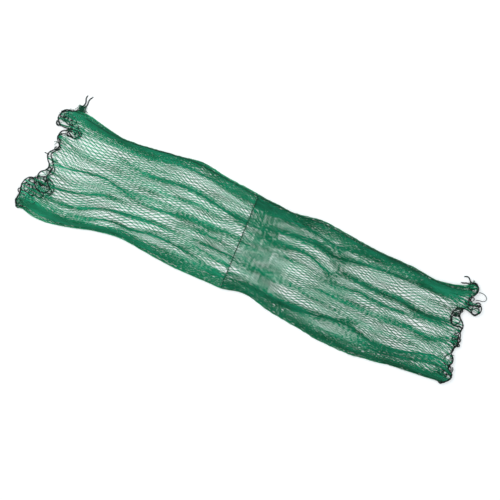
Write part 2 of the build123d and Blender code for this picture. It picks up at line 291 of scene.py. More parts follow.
def curve_through(points, column=1):
    """A smooth function through given points: of their first number, giving the one in a column."""
    table = np.array(sorted(points), float)
    xs, ys = table[:, 0], table[:, column]
    slopes = np.gradient(ys, xs)

    def at(x):
        x = np.clip(x, xs[0], xs[-1])
        i = np.clip(np.searchsorted(xs, x) - 1, 0, len(xs) - 2)
        span = xs[i + 1] - xs[i]
        s = (x - xs[i]) / span
        return (
            (2 * s**3 - 3 * s**2 + 1) * ys[i] + (s**3 - 2 * s**2 + s) * span * slopes[i]
            + (3 * s**2 - 2 * s**3) * ys[i + 1] + (s**3 - s**2) * span * slopes[i + 1]
        )

    return at


def smoothstep(x):
    x = np.clip(x, 0, 1)
    return x * x * (3 - 2 * x)


def blurred(values, sigma, axis, wrap=False):
    """Values blurred along one axis by a Gaussian."""
    reach = max(1, int(3 * sigma))
    kernel = np.exp(-0.5 * (np.arange(-reach, reach + 1) / sigma) ** 2)
    kernel /= kernel.sum()
    pad = [(0, 0)] * values.ndim
    pad[axis] = (reach, reach)
    padded = np.pad(values, pad, mode="wrap" if wrap else "edge")
    return np.apply_along_axis(lambda line: np.convolve(line, kernel, "valid"), axis, padded)


def ripple(shape, rows, columns):
    """A smooth random field of unit spread over rows and columns of knots."""
    field = blurred(blurred(draw.standard_normal(shape), rows, 0), columns, 1)
    return field / field.std()


def unit(vectors):
    return vectors / np.maximum(np.linalg.norm(vectors, axis=-1, keepdims=True), 1e-12)


def linked(name, data):
    """A new object in the scene."""
    thing = bpy.data.objects.new(name, data)
    bpy.context.scene.collection.objects.link(thing)
    return thing


def new_mesh(name, points, quads, triangles, uv):
    """A mesh object from arrays of points, quads and triangles. The uv of each point holds the length along
    its strand, the turn round it and, in the netting, how closely the twines lie there."""
    mesh = bpy.data.meshes.new(name)
    corners = np.concatenate([quads.ravel(), triangles.ravel()]).astype(np.int32)
    starts = np.concatenate([
        np.arange(len(quads)) * 4, len(quads) * 4 + np.arange(len(triangles)) * 3,
    ]).astype(np.int32)
    mesh.vertices.add(len(points))
    mesh.vertices.foreach_set("co", points.astype(np.float32).ravel())
    mesh.loops.add(len(corners))
    mesh.loops.foreach_set("vertex_index", corners)
    mesh.polygons.add(len(starts))
    mesh.polygons.foreach_set("loop_start", starts)
    mesh.update(calc_edges=True)
    mesh.validate()
    mesh.shade_smooth()
    layer = mesh.uv_layers.new(name="strand")
    layer.uv.foreach_set("vector", uv[corners, :2].astype(np.float32).ravel())
    if uv.shape[1] == 3:
        crowding = mesh.attributes.new("crowding", "FLOAT", "POINT")
        crowding.data.foreach_set("value", uv[:, 2].astype(np.float32))
    return linked(name, mesh)


def lengths_along(line):
    """Length from the start of a line to each of its points."""
    return np.concatenate([[0], np.cumsum(np.linalg.norm(np.diff(line, axis=0), axis=1))])


def line_length(line):
    return float(np.linalg.norm(np.diff(line, axis=0), axis=1).sum())


def nearest(line, place):
    """Number of the line's point that is nearest to a place."""
    return int(np.argmin(np.linalg.norm(line - place, axis=1)))


def evenly(line, step):
    """The same line with points at an even step."""
    lengths = lengths_along(line)
    count = max(4, int(round(lengths[-1] / step)))
    at = np.linspace(0, lengths[-1], count + 1)
    return np.stack([np.interp(at, lengths, line[:, k]) for k in range(3)], 1)


def nurbs_line(name, route):
    """Points along the smooth line that has a given route, in mm, as its control points."""
    curve = bpy.data.curves.new(name, "CURVE")
    curve.dimensions = "3D"
    spline = curve.splines.new("NURBS")
    spline.points.add(len(route) - 1)
    for point, place in zip(spline.points, route):
        point.co = (*(value * MM for value in place), 1)
    spline.order_u = 3
    spline.use_endpoint_u = True
    spline.resolution_u = 16
    holder = linked(name, curve)
    mesh = bpy.data.meshes.new_from_object(holder)
    line = np.zeros(len(mesh.vertices) * 3)
    mesh.vertices.foreach_get("co", line)
    bpy.data.objects.remove(holder)
    bpy.data.meshes.remove(mesh)
    return line.reshape(-1, 3)


def carried_frames(line):
    """Two directions across a line at each point, carried along it without twisting."""
    along = unit(np.gradient(line, axis=0))
    first = np.cross(along[0], UP)
    if np.linalg.norm(first) < 0.1:
        first = np.cross(along[0], [1.0, 0.0, 0.0])
    side = np.zeros_like(line)
    side[0] = unit(first)
    for k in range(1, len(line)):
        carried = side[k - 1] - along[k] * (side[k - 1] @ along[k])
        side[k] = carried / np.linalg.norm(carried)
    return side, np.cross(along, side)


def spokes(side, top, sides):
    """Steps outwards from a line, sides of them round each of its points."""
    turn = np.arange(sides) * 2 * math.pi / sides
    return side[..., None, :] * np.cos(turn)[:, None] + top[..., None, :] * np.sin(turn)[:, None]


def walls(ring, sides):
    """Quads from each ring of points to the next, where ring is the number of each ring's first point."""
    here = np.arange(sides)
    there = (here + 1) % sides
    after = ring + sides
    return np.stack([ring + here, ring + there, after + there, after + here], -1).reshape(-1, 4)


def tube_along(line, radius, sides, taper=1.0):
    """Arrays of one closed tube along a line, with directions carried along it."""
    side, top = carried_frames(line)
    girth = radius * taper * np.ones(len(line))
    points = (line[:, None] + spokes(side, top, sides) * girth[:, None, None]).reshape(-1, 3)
    quads = walls(np.arange(len(line) - 1)[:, None] * sides, sides)
    last = (len(line) - 1) * sides
    fans = [[0, k + 1, k] for k in range(1, sides - 1)]
    fans += [[last, last + k, last + k + 1] for k in range(1, sides - 1)]
    uv = np.stack(np.broadcast_arrays(lengths_along(line)[:, None], np.arange(sides) / sides), -1)
    return points, quads, np.array(fans), uv.reshape(-1, 2)


def strand_arrays(paths, crowding, radius):
    """Arrays of closed square tubes along paths of shape (strands, rings, 3)."""
    strands, rings, _ = paths.shape
    along = np.gradient(paths, axis=1)
    side = unit(np.cross(along, UP))
    top = unit(np.cross(side, along))
    points = (paths[:, :, None] + spokes(side, top, 4) * radius).reshape(-1, 3)
    start = np.arange(strands)[:, None, None] * rings * 4
    first = (start[:, 0] + np.arange(4)).reshape(strands, 4)
    last = first + (rings - 1) * 4
    ring = start + np.arange(rings - 1)[None, :, None] * 4
    quads = np.concatenate([walls(ring, 4), first[:, ::-1], last])
    length = np.array([lengths_along(path) for path in paths])
    uv = np.stack(np.broadcast_arrays(length[:, :, None], np.arange(4) / 4, crowding[:, :, None]), -1)
    return points, quads, np.zeros((0, 3), int), uv.reshape(-1, 3)


def join_arrays(parts):
    """One set of arrays from several."""
    points, quads, triangles, uvs = zip(*parts)
    offsets = np.cumsum([0, *map(len, points)])
    quads = [part + offset for part, offset in zip(quads, offsets)]
    triangles = [part + offset for part, offset in zip(triangles, offsets)]
    return tuple(np.concatenate(arrays) for arrays in (points, quads, triangles, uvs))


def laid_arrays(line, diameter, strands=3, sides=6, steps=10):
    """A laid cord: strands twisted round a line, with so many steps to each turn."""
    pitch = LAY_TURN * diameter
    line = evenly(line, pitch / steps)
    side, top = carried_frames(line)
    length = np.linspace(0, line_length(line), len(line))
    parts = []
    for k in range(strands):
        angle = (2 * math.pi * (length / pitch + k / strands))[:, None]
        strand = line + STRAND_OFFSET * diameter * (side * np.cos(angle) + top * np.sin(angle))
        parts.append(tube_along(strand, STRAND_R * diameter, sides))
    return join_arrays(parts)


def stitches_arrays(line, pitch, radius, twine_r=0.5 * MM):
    """A thin twine wound in open turns round a cord."""
    line = evenly(line, pitch / 10)
    side, top = carried_frames(line)
    angle = (2 * math.pi * np.arange(len(line)) / 10)[:, None]
    return tube_along(line + radius * (side * np.cos(angle) + top * np.sin(angle)), twine_r, 4)


def bound_arrays(lines):
    """Mouth cord along each line, with the netting's own twine wound along it."""
    return join_arrays(
        [laid_arrays(line, MOUTH_CORD_D, sides=5, steps=8) for line in lines]
        + [stitches_arrays(line, 3.4 * MM, 2.1 * MM, 0.6 * MM) for line in lines]
    )


def frayed_arrays(tip, heading, diameter, fibres, reach):
    """Loose fibres that fan out from the cut end of a cord, lying down on the floor."""
    parts = []
    across = np.cross(UP, heading)
    t = np.linspace(0, 1, 7)[:, None]
    for _ in range(fibres):
        fan = draw.uniform(-0.9, 0.9)
        away = np.array([
            heading[0] * math.cos(fan) - heading[1] * math.sin(fan),
            heading[0] * math.sin(fan) + heading[1] * math.cos(fan), 0.0,
        ])
        curl = np.cross(UP, away) * draw.uniform(-0.35, 0.35)
        length = reach * draw.uniform(0.5, 1.0)
        root = tip - heading * diameter * 0.8 + across * draw.uniform(-0.3, 0.3) * diameter
        line = root + away * length * t + curl * length * t**2
        line[:, 2] = np.maximum(line[:, 2] - 0.6 * MM * t[:, 0], 0.35 * MM)
        parts.append(tube_along(line, 0.16 * MM, 4, 1 - 0.6 * t[:, 0]))
    return join_arrays(parts)


def knot_arrays(centre, radius, cord_r, tilt):
    """An overhand knot pulled tight, from a trefoil line."""
    t = np.linspace(0, 2 * math.pi, 73)
    trefoil = np.stack([
        np.sin(t) + 2 * np.sin(2 * t), np.cos(t) - 2 * np.cos(2 * t), -1.3 * np.sin(3 * t),
    ], 1) / 3
    c, s = math.cos(tilt), math.sin(tilt)
    turned = trefoil @ np.array([[c, s, 0], [-s, c, 0], [0, 0, 1]])
    return tube_along(np.array(centre) + turned * radius, cord_r, 8)


def whipping_arrays(centre, way, radius, twine_r, turns, length):
    """Turns of twine wound tightly side by side round a cord."""
    way = unit(np.array(way, float))
    side = unit(np.cross(way, UP))
    top = np.cross(side, way)
    t = np.linspace(0, 1, turns * 16 + 1)[:, None]
    wobble = 1 + 0.06 * np.sin(2 * math.pi * turns * 1.7 * t)
    angle = 2 * math.pi * turns * t
    line = (
        np.array(centre) + way * (t - 0.5) * length
        + (side * np.cos(angle) + top * np.sin(angle)) * radius * wobble
    )
    return tube_along(line, twine_r, 6)


def curl_line(x, y, radius, start, turns):
    """A flat turn of slack cord, not quite round, that rises a little from end to end."""
    t = np.linspace(0, 1, max(12, int(36 * turns)))
    angle = math.radians(start) + 2 * math.pi * turns * t
    reach = radius * (1 + 0.16 * np.cos(2 * angle + start) + 0.12 * t)
    return np.column_stack([x + reach * np.cos(angle), y + reach * np.sin(angle), 7.5 + 2.5 * t]) * MM


def bead_arrays(centres, headings, sizes):
    """A small tight knot at each centre: two turns of twine drawn together at the waist."""
    headings = unit(headings)
    side = unit(np.cross(headings, UP))
    spread = spokes(side, np.cross(side, headings), BEAD_SIDES)
    centres, headings, sizes = centres[:, None], headings[:, None], sizes[:, None, None]
    rings = [centres - headings * BEAD_TIP * sizes]
    for place, girth in BEAD_RINGS:
        rings.append(centres + (headings * place + spread * girth) * sizes)
    rings.append(centres + headings * BEAD_TIP * sizes)
    points = np.concatenate(rings, 1)
    count, each, _ = points.shape
    quads, triangles = [], []
    last = each - 1 - BEAD_SIDES
    for k in range(BEAD_SIDES):
        n = (k + 1) % BEAD_SIDES
        triangles += [[0, 1 + n, 1 + k], [each - 1, last + k, last + n]]
        for ring in range(len(BEAD_RINGS) - 1):
            a = 1 + BEAD_SIDES * ring
            quads.append([a + k, a + n, a + BEAD_SIDES + n, a + BEAD_SIDES + k])
    start = np.arange(count)[:, None, None] * each
    number = np.arange(each)
    uv = np.stack([number * 0.4 * MM, number % BEAD_SIDES / BEAD_SIDES], 1)
    return (
        points.reshape(-1, 3), (start + np.array(quads)).reshape(-1, 4),
        (start + np.array(triangles)).reshape(-1, 3), np.tile(uv, (count, 1)),
    )


def snarl_arrays(centre, reach, count):
    """Slack meshes bunched up in a corner of the mouth: short curling lengths of twine among the loops."""
    parts = []
    for _ in range(count):
        spot = draw.standard_normal(2) * 0.5
        heading, bend = draw.uniform(0, 2 * math.pi), draw.uniform(-0.25, 0.25)
        steps = int(draw.integers(9, 18))
        turns = heading + bend * np.arange(steps) + np.cumsum(draw.uniform(-0.35, 0.35, steps))
        pace = min(3.2, 0.12 * min(reach))
        walk = np.cumsum(np.stack([np.cos(turns), np.sin(turns)], 1) * pace, axis=0)
        walk = walk - walk.mean(axis=0) + np.array(centre) + spot * np.array(reach)
        z = draw.uniform(3.0, 9.0) + np.cumsum(draw.uniform(-0.5, 0.5, steps))
        line = np.column_stack([walk, np.clip(z, 1.5, 10.5)]) * MM
        parts.append(tube_along(line, 0.8 * TWINE_R, 5))
        beads = line[2:-2:4]
        parts.append(bead_arrays(beads, line[3:-1:4][: len(beads)] - beads, np.full(len(beads), KNOT_R)))
    return join_arrays(parts)


# ---------------- the netting


def gathered(pleats, side, x, back, front, looseness):
    """y of each knot, as rows x columns, where x, back and front hold the x and the edges of each row, in mm.
    The columns crowd together along each pleat, at the cost of the netting beside it, and in finer streaks.
    Strong pleats turn over themselves. Also how far each knot rises along the pleats that turn over."""
    samples = 420
    count = LAYER_COLUMNS[side]
    share = (np.arange(samples) + 0.5) / samples
    back, front = back[:, None], front[:, None]
    y = back + (front - back) * share
    edges = 0.5 + EDGE_CROWD[side] * (np.abs(x)[:, None] / HALF_LENGTH) ** 2.6
    crowd = 1 + edges * np.exp(-(((back - y) / EDGE_REACH) ** 2))
    crowd = crowd + edges * np.exp(-(((y - front) / EDGE_REACH) ** 2))
    lines, strengths = [], []
    for route in pleats:
        wander = 2.2 * ripple((len(x), 1), 2.5, 0.1)
        lines.append(curve_through(route)(x)[:, None] + wander)
        pleat_x, _, strength = np.array(sorted(route)).T
        strength = np.interp(x, pleat_x, strength)[:, None]
        strengths.append(strength * np.clip(1 + 0.3 * ripple((len(x), 1), 2.5, 0.1), 0.2, 1.6))
        away = (y - lines[-1]) / PLEAT_HALF_WIDTH[side]
        pleat = np.exp(-(away**2)) - 0.22 * np.exp(-((away / 4) ** 2))
        crowd = crowd + PLEAT_CROWD[side] * strengths[-1] * pleat
    # finer streaks, calmer towards the left mouth and in the open patches
    streaks = 0.5 * ripple(y.shape, 4.5, 5) + 0.35 * ripple(y.shape, 8, 14) + 0.25 * ripple(y.shape, 2.4, 2)
    streaks = streaks - 0.8 * blurred(streaks, 26, 1)
    calm = 0.35 + 0.65 * smoothstep((620 - np.abs(x)[:, None]) / 420) if side == "left" else 0.9
    for patch_x, patch_y, reach_x, reach_y in OPEN_PATCHES[side]:
        near = np.exp(-(((x[:, None] - patch_x) / reach_x) ** 2) - ((y - patch_y) / reach_y) ** 2)
        calm = calm * (1 - 0.7 * near)
        crowd = crowd - 0.5 * near
    crowd = np.clip(crowd, 0.55, None) * np.exp(streaks * looseness * calm)
    # each column passes the same share of the row's closeness
    passed = np.cumsum(crowd, axis=1) / crowd.sum(axis=1, keepdims=True)
    column = np.arange(count) + 0.5
    placed = np.stack([np.interp(column / count, *row) for row in zip(passed, y)])
    placed = blurred(placed, 1.2, 0)
    # strong pleats carry the columns beside them over each other
    lift = np.zeros_like(placed)
    for line, strength in zip(lines, strengths):
        rows = zip(line[:, 0], y, passed)
        behind = np.stack([np.interp(-at, -row_y, row_passed) for at, row_y, row_passed in rows])
        turn = (column - blurred(behind[:, None] * count, 2.5, 0)) / 2.8
        fold = turn * np.exp((1 - turn**2) / 2)
        over = np.clip(strength - 0.75, 0, None)
        placed = placed + fold * over * 5
        lift = lift + fold * over * 1.5
    return placed, lift


def mouth_ring(line, corner, last_row):
    """Where each column of the tube meets its mouth cord, first spread out and then in bunches. A column
    keeps the y that it has in the last row, so loops of cord that stand out of the netting hold few
    columns, and the long edges crowd on to the cord's knot and its front corner."""
    lengths = lengths_along(line)
    corner_at = lengths[nearest(line, corner)]
    half_roll = BUNDLE_COLUMNS // 2
    around = len(last_row)
    layer = np.arange(around // 2 - BUNDLE_COLUMNS)
    at = np.zeros(around)
    for start, end, columns, falls in (
        (0.0, corner_at, layer, 1), (corner_at, lengths[-1], around // 2 + layer, -1),
    ):
        s = np.linspace(start, end, 400)
        y = falls * np.interp(s, lengths, line[:, 1])
        trend = np.minimum.accumulate(blurred(y, 18, 0)) - 1e-6 * np.arange(400)
        level = np.minimum.accumulate(falls * last_row[columns, 1])
        matched = blurred(np.interp(-level, -trend, s), 3, 0)
        evenly_spread = np.linspace(start, end, len(columns) + 2 * half_roll)[half_roll:-half_roll]
        at[columns] = 0.8 * matched + 0.2 * evenly_spread
        before, after = columns[0] - 1 - np.arange(half_roll), columns[-1] + 1 + np.arange(half_roll)
        part = (np.arange(half_roll) + 0.5) / half_roll
        at[before % around] = at[columns[0]] + (start - at[columns[0]]) * part
        at[after % around] = at[columns[-1]] + (end - at[columns[-1]]) * part
    # columns in their order along the cord, from the knot round to the knot again
    order, bunched, first = (np.arange(around) - half_roll) % around, at.copy(), 0
    while first < around:
        last = min(around, first + int(draw.integers(3, 7)))
        group = order[first:last]
        bunched[group] = at[group].mean() + 0.2 * (at[group] - at[group].mean())
        first = last
    return [np.stack([np.interp(s, lengths, line[:, k]) for k in range(3)], 1) for s in (at, bunched)]


def seam_x(y):
    """The lacing seam runs slightly askew across the sleeve. In mm."""
    return -0.033 * y


def knots_of_half(side, cord_line, corner):
    """Places of the knots of one half, as rows x columns x 3, in metres, and of the bunches on its cord.
    Columns run over the upper layer from back to front, round the front bundle, over the lower layer to the
    back, and round the back bundle. The last row is on the mouth cord."""
    mouth_x = curve_through(MOUTH_LINE[side])
    back_y, back_w = curve_through(BACK_EDGE[side]), curve_through(BACK_EDGE[side], 2)
    front_y, front_w = curve_through(FRONT_EDGE[side]), curve_through(FRONT_EDGE[side], 2)
    rows = int(round(abs(mouth_x(0.0)) * MM / ROW_PITCH / 2)) * 2 + 1
    along = np.linspace(0, 1, rows)
    row_x = along * mouth_x(0.0)

    def spread_rows(y):
        """x of each knot, in mm, from the seam to the mouth."""
        start = seam_x(y[0]) + WAY[side] * 1.5
        return start + along[:, None] * (mouth_x(y[-1]) - start)

    # upper layer
    back = back_y(row_x) - LAYER_INSET * back_w(row_x)
    front = front_y(row_x) + LAYER_INSET * front_w(row_x)
    upper_y, lift = gathered(PLEATS[side], side, row_x, back, front, 0.85)
    z = UPPER_LAYER_Z + 0.6 * ripple(upper_y.shape, 6, 8) + lift + 0.4 * ripple(upper_y.shape, 2, 2)
    upper = np.stack([spread_rows(upper_y), upper_y, np.clip(z, 5.0, 12.0)], -1)

    # lower layer, from front to back: it lies partly in the folds of the upper layer and partly in its own
    weaker = [[(x, y + 3, 0.45 * strength) for x, y, strength in route] for route in PLEATS[side]]
    weaker += [[(x, y, 0.4 * strength) for x, y, strength in route] for route in UNDER_PLEATS[side]]
    y, lift = gathered(weaker, side, row_x, back, front, 0.7)
    y = (0.72 * upper_y + 0.28 * y)[:, ::-1]
    z = LOWER_LAYER_Z + 0.3 * ripple(y.shape, 5, 5) + np.abs(lift[:, ::-1])
    lower = np.stack([spread_rows(y), y, np.clip(z, LEAST_KNOT_Z, 4.4)], -1)

    # bundles: each goes out to the long edge and in again twice, on its way from one layer to the other
    turn = np.tile((np.arange(BUNDLE_COLUMNS) + 0.5) / BUNDLE_COLUMNS, (rows, 1))
    in_out = np.abs(2 * ((2 * turn) % 1) - 1) ** 2
    rolls = []
    for edge_y, edge_w, inward in ((front_y, front_w, 1), (back_y, back_w, -1)):
        outer, width = edge_y(row_x)[:, None] - inward * 1.5, edge_w(row_x)[:, None] + 2
        loose = np.clip(1 + 0.22 * ripple(turn.shape, 5, 5), 0.55, 1.5)
        flutter = 1.5 * ripple((rows, 1), 1.6, 0.1) + 0.9 * ripple(turn.shape, 2, 3)
        flutter *= smoothstep(np.arange(rows)[:, None] / 3)
        reach = width * in_out * loose + np.abs(0.8 * ripple(turn.shape, 1.2, 1.5))
        y = outer + inward * reach + 0.8 * flutter
        z = BUNDLE_TOP_Z - BUNDLE_DROP * turn if inward == 1 else BUNDLE_FOOT_Z + BUNDLE_DROP * turn
        z = z + 0.4 * ripple(turn.shape, 2, 3)
        rolls.append(np.stack([spread_rows(y), y, np.clip(z, LEAST_KNOT_Z, 10.6)], -1))
    front_roll, back_roll = rolls

    knots = np.concatenate([upper, front_roll, lower, back_roll], 1) * MM
    knots += draw.standard_normal(knots.shape) * np.array([0.5, 0.3, 0.12]) * MM

    # the last rows are drawn on to the mouth cord: broadly from further in, and in detail close to it
    ring, bunches = mouth_ring(cord_line, corner, knots[-1])
    pull = ring - knots[-1]
    broad = blurred(pull, 9, 0, wrap=True)
    rows_left = (rows - 1 - np.arange(rows))[:, None, None]
    knots += broad * smoothstep(1 - rows_left / 10) + (pull - broad) * smoothstep(1 - rows_left / 3.5)
    far = np.clip(np.linalg.norm(pull, axis=1, keepdims=True) / (26 * MM), 0, 1)
    for rows_in, near_share, far_share in ((1, 1.0, 0), (2, 0.1, 0.6), (3, 0, 0.5), (4, 0, 0.2)):
        knots[-rows_in] += (near_share + far_share * far) * (bunches - ring)
    knots[..., 2] = np.maximum(knots[..., 2], LEAST_KNOT_Z * MM)
    return knots, bunches


def crowding_of(knots):
    """How closely the twines of both layers lie at each knot: 0 where the meshes stand open, 1 in a pleat."""
    closeness = []
    for y in knots[..., 1]:
        apart = (y[:, None] - y) / CROWDING_REACH
        closeness.append(np.exp(-0.5 * apart**2).sum(axis=1) / (CROWDING_REACH * math.sqrt(2 * math.pi)))
    strands_per_mm = blurred(np.array(closeness), 0.7, 0) * MM
    return np.clip((strands_per_mm - OPEN_STRANDS) / (TIGHT_STRANDS - OPEN_STRANDS), 0, 1)


def twine_paths(knots, crowding, first, last):
    """Zigzag strands of twine from column first up to column last, through every knot that they tie, and
    the crowding along them."""
    rows, around, _ = knots.shape
    row = np.arange(rows)
    paths, crowded = [], []
    for strand in range(first, last):
        step = (row + strand) % 2
        near, far = (strand + step) % around, (strand + 1 - step) % around
        here = knots[row, near]
        beside = unit(knots[row, far] - here)
        paths.append(here + beside * TWINES_APART)
        crowded.append(np.interp(np.arange(3 * rows - 2) / 3, row, crowding[row, near]))
    places = np.array(paths)
    bars = np.diff(places, axis=1)
    lengths = np.linalg.norm(bars, axis=2, keepdims=True)
    slack = np.sqrt(0.375 * np.clip(BAR**2 - lengths**2, 0, None))
    across = unit(np.cross(bars, UP))
    bow = np.minimum(slack, MOST_BOW) * draw.uniform(0.05, 0.7, lengths.shape)
    bow *= np.where(draw.random(lengths.shape) < 0.5, -1, 1)
    droop = draw.uniform(-0.4, 0.4, lengths.shape) * MM
    woven = np.empty((len(places), 3 * rows - 2, 3))
    woven[:, 0::3] = places
    for k, part in ((1, 1 / 3), (2, 2 / 3)):
        woven[:, k::3] = places[:, :-1] + bars * part + (across * bow + UP * droop) * 4 * part * (1 - part)
    woven[..., 2] = np.maximum(woven[..., 2], LEAST_TWINE_Z * MM)
    return woven, np.array(crowded)


def knot_beads(knots, crowding, first, last):
    """Knots of the columns from first up to last, in all rows but the one on the mouth cord."""
    rows = len(knots) - 1
    row, column = np.meshgrid(np.arange(rows), np.arange(first, last), indexing="ij")
    tied = (row + column) % 2 == 0
    row, column = row[tied], column[tied]
    column = column % knots.shape[1]
    centres = knots[row, column]
    headings = knots[np.minimum(row + 1, rows - 1), column] - knots[np.maximum(row - 1, 0), column]
    sizes = KNOT_R * draw.uniform(0.88, 1.12, len(centres))
    points, quads, triangles, uv = bead_arrays(centres, headings, sizes)
    crowded = np.repeat(crowding[row, column], len(points) // len(centres))
    return points, quads, triangles, np.column_stack([uv, crowded])


# ---------------- materials


def new_material(name):
    """An empty material with a Principled shader, and its nodes."""
    material = bpy.data.materials.new(name)
    material.use_nodes = True
    nodes, links = material.node_tree.nodes, material.node_tree.links
    nodes.clear()
    output = nodes.new("ShaderNodeOutputMaterial")
    shader = nodes.new("ShaderNodeBsdfPrincipled")
    links.new(shader.outputs["BSDF"], output.inputs["Surface"])
    return material, shader, nodes, links


def fill(node, values):
    """Sets the named sockets of a shader node, and gives the node back."""
    for socket, value in values.items():
        node.inputs[socket].default_value = value
    return node


def twine_material(
    name, dark, light, patch, depth=0.0, roughness=0.6, sheen=0.0, lay=2 * MM, groove_shade_depth=0.3,
):
    """Twisted synthetic twine. Its colour drifts from dark to light in streaks along the sleeve that are
    about patch metres wide: partly the twine's own uneven tone, partly painted shade of pleats. The hollows
    between its strands are painted darker, as shade, and lay is the length of one strand's turn, in metres.
    Where the netting is crowded it is darker by the share depth: painted shade of twines lying close
    together."""
    material, shader, nodes, links = new_material(name)

    def join(giver, output, taker, socket):
        links.new(giver.outputs[output], taker.inputs[socket])

    places = nodes.new("ShaderNodeTexCoord")
    drawn_out = fill(nodes.new("ShaderNodeMapping"), {"Scale": (0.18, 1, 0.5)})
    join(places, "Object", drawn_out, "Vector")
    # Streaks of colour drawn out along the sleeve: partly the twine's own uneven tone, partly painted shade
    # of pleats.
    tone_and_pleat_shade = fill(nodes.new("ShaderNodeTexNoise"), {"Scale": 1 / patch, "Detail": 5, "Roughness": 0.65})
    join(drawn_out, "Vector", tone_and_pleat_shade, "Vector")
    colours = nodes.new("ShaderNodeValToRGB")
    for stop, position, colour in zip(colours.color_ramp.elements, (0.32, 0.68), (dark, light)):
        stop.position = position
        stop.color = (*colour, 1)
    join(tone_and_pleat_shade, "Fac", colours, "Fac")
    strand = nodes.new("ShaderNodeUVMap")
    strand.uv_map = "strand"
    slant = fill(nodes.new("ShaderNodeMapping"), {"Scale": (1 / lay, 2, 1)})
    join(strand, "UV", slant, "Vector")
    # Darker hollows between the twisted strands: painted shade in the grooves. The same bands also drive the
    # bump.
    twist = fill(nodes.new("ShaderNodeTexWave"), {"Scale": 0.5, "Distortion": 0.6})
    twist.wave_type = "BANDS"
    twist.bands_direction = "DIAGONAL"
    join(slant, "Vector", twist, "Vector")
    groove_shade = fill(nodes.new("ShaderNodeMapRange"), {"To Min": 1 - groove_shade_depth, "To Max": 1})
    join(twist, "Fac", groove_shade, "Value")
    # Darker where the twines crowd: painted shade of twines lying over and beside each other.
    crowding = nodes.new("ShaderNodeAttribute")
    crowding.attribute_name = "crowding"
    crowd_shade = fill(nodes.new("ShaderNodeMapRange"), {"To Min": 1, "To Max": 1 - depth})
    join(crowding, "Fac", crowd_shade, "Value")
    shade = nodes.new("ShaderNodeMath")
    shade.operation = "MULTIPLY"
    join(groove_shade, "Result", shade, 0)
    join(crowd_shade, "Result", shade, 1)
    shaded = nodes.new("ShaderNodeMix")
    shaded.data_type = "RGBA"
    shaded.blend_type = "MULTIPLY"
    fill(shaded, {"Factor": 1})
    join(colours, "Color", shaded, "A")
    join(shade, "Value", shaded, "B")
    join(shaded, "Result", shader, "Base Color")
    bump = fill(nodes.new("ShaderNodeBump"), {"Strength": 0.35, "Distance": 0.15 * MM})
    join(twist, "Fac", bump, "Height")
    join(bump, "Normal", shader, "Normal")
    fill(shader, {
        "Roughness": roughness, "Specular IOR Level": 0.2, "Sheen Weight": sheen, "Sheen Roughness": 0.4,
    })
    return material


# Twine of each half. The right half's colours are darker than the left's: painted shade, as of a half lying
# in less light.
NETTINGS = {
    "left": twine_material("left_netting", (0.006, 0.220, 0.092), (0.026, 0.560, 0.300), 0.024, 0.48),
    "right": twine_material("right_netting", (0.004, 0.170, 0.070), (0.017, 0.470, 0.245), 0.024, 0.52),
}
# The gathered edges are darker than the netting: painted shade of the layers stacked in them.
SHADED_GATHERED = {
    "left": twine_material("left_gathered_shaded", (0.005, 0.200, 0.080), (0.018, 0.480, 0.230), 0.018, 0.48),
    "right": twine_material("right_gathered_shaded", (0.002, 0.125, 0.050), (0.011, 0.380, 0.175), 0.018, 0.64),
}
CORD = twine_material(
    "mouth_cord", (0.003, 0.010, 0.008), (0.010, 0.034, 0.025), 0.03,
    roughness=0.55, sheen=0.06, lay=1.2 * MM, groove_shade_depth=0.45,
)
SNARLED = twine_material("mouth_gathers", (0.002, 0.045, 0.022), (0.007, 0.150, 0.075), 0.02)
LACING = twine_material(
    "lacing", (0.004, 0.045, 0.022), (0.010, 0.105, 0.052), 0.03,
    roughness=0.55, sheen=0.08, lay=1.2 * MM, groove_shade_depth=0.45,
)
TYING = twine_material(
    "tying_twine", (0.012, 0.026, 0.022), (0.035, 0.062, 0.052), 0.02,
    sheen=0.08, lay=1.2 * MM, groove_shade_depth=0.4,
)


def made(name, arrays, material, node=None, body=None):
    """A piece of one material, in place of a node of the CAD and riding on a body where they are named."""
    piece = new_mesh(name, *arrays)
    piece.data.materials.append(material)
    if node:
        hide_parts(node)
    if body:
        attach(piece, body)
    return piece


# ---------------- pieces of each half


def carried(piece, side):
    """Netting and lacing of the left half are baked into place and ride on no body. Those of the right half
    ride on the right half's body.
    """
    if side == "left":
        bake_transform(piece)
    else:
        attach(piece, "right_half")


def mouth_route(side):
    """The whole way of a mouth cord, in mm: from the knot over the upper edge to the front corner, and back
    under the lower edge."""
    start, turn, back, end = RUN_ENDS[side]
    upper = [(x, y, UPPER_RUN_Z) for x, y in UPPER_RUN[side]]
    lower = [(x, y, LOWER_RUN_Z) for x, y in LOWER_RUN[side]]
    return [
        (*start, RUN_START_Z), *upper, (*turn, MID_RUN_Z), (*back, RUN_BACK_Z), *lower, (*end, RUN_END_Z),
    ]


def build_netting(side, knots):
    """The two layers and the two gathered edges of one half."""
    crowding = crowding_of(knots)
    first = 0
    for part in ("upper", "front", "lower", "back"):
        is_layer = part in ("upper", "lower")
        count = LAYER_COLUMNS[side] if is_layer else BUNDLE_COLUMNS
        twine = strand_arrays(*twine_paths(knots, crowding, first, first + count), TWINE_R)
        beads = knot_beads(knots, crowding, first, first + count)
        first += count
        if is_layer:
            name = f"{side}_{part}_netting"
            piece = made(name, twine, NETTINGS[side], f"{side}_net_{part}")
            tied = made(f"{name}_knots", beads, NETTINGS[side])
            carried(piece, side)
            carried(tied, side)
        else:
            roll = join_arrays([twine, beads])
            name = f"{side}_{part}_gathered_netting"
            piece = made(name, roll, SHADED_GATHERED[side], f"{side}_{part}_bundle")
            carried(piece, side)


